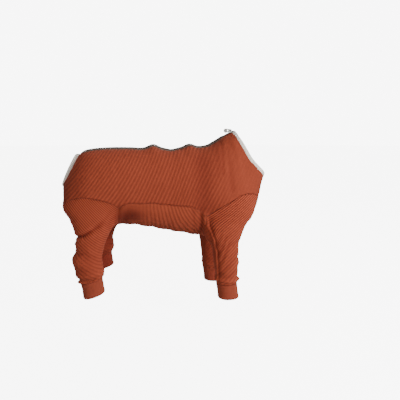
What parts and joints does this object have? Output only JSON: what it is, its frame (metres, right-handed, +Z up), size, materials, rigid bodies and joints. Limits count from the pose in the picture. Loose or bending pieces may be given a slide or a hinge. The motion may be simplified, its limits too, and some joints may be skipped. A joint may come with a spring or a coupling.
{
  "type": "dog jumpsuit",
  "caption": "Ribbed-knit four-legged jumpsuit for a dog, zipped along the back, with cuffed legs and bound neck and tail openings.",
  "frame": {"origin": "on the back, at the zip, in the dip between the zip's two waves", "axes": "+X towards the head, +Y to the dog's left, +Z up"},
  "size_m": [0.5905, 0.2429, 0.5042],
  "materials": {
    "rib_knit": "rust-coloured rib knit, soft and matt",
    "cuff_knit": "finer rust-coloured rib knit, folded double",
    "binding": "cream knitted binding",
    "zip_tape": "grey-brown woven zip tape",
    "zip_chain": "grey-brown nylon coil",
    "zip_metal": "worn nickel-plated zinc"
  },
  "bodies": {
    "suit": {"side_panel_right": "rib_knit", "side_panel_left": "rib_knit", "belly_panel": "rib_knit", "hind_leg_right": "rib_knit", "hind_cuff_right": "cuff_knit", "hind_leg_left": "rib_knit", "hind_cuff_left": "cuff_knit", "front_leg_right": "rib_knit", "front_cuff_right": "cuff_knit", "front_leg_left": "rib_knit", "front_cuff_left": "cuff_knit", "neck_binding": "binding", "tail_binding": "binding", "zipper_tape_right": "zip_tape", "zipper_tape_left": "zip_tape", "zipper_chain": "zip_chain", "zipper_slider": "zip_metal"},
    "pull_tab": {"pull_tab": "zip_metal"}
  },
  "joints": [
    {"name": "pull_tab_hinge", "type": "hinge", "parent": "suit", "child": "pull_tab", "pos_m": [0.17985, 0, 0.05959], "axis": [0, 1, 0], "range_deg": [0, 130]}
  ]
}
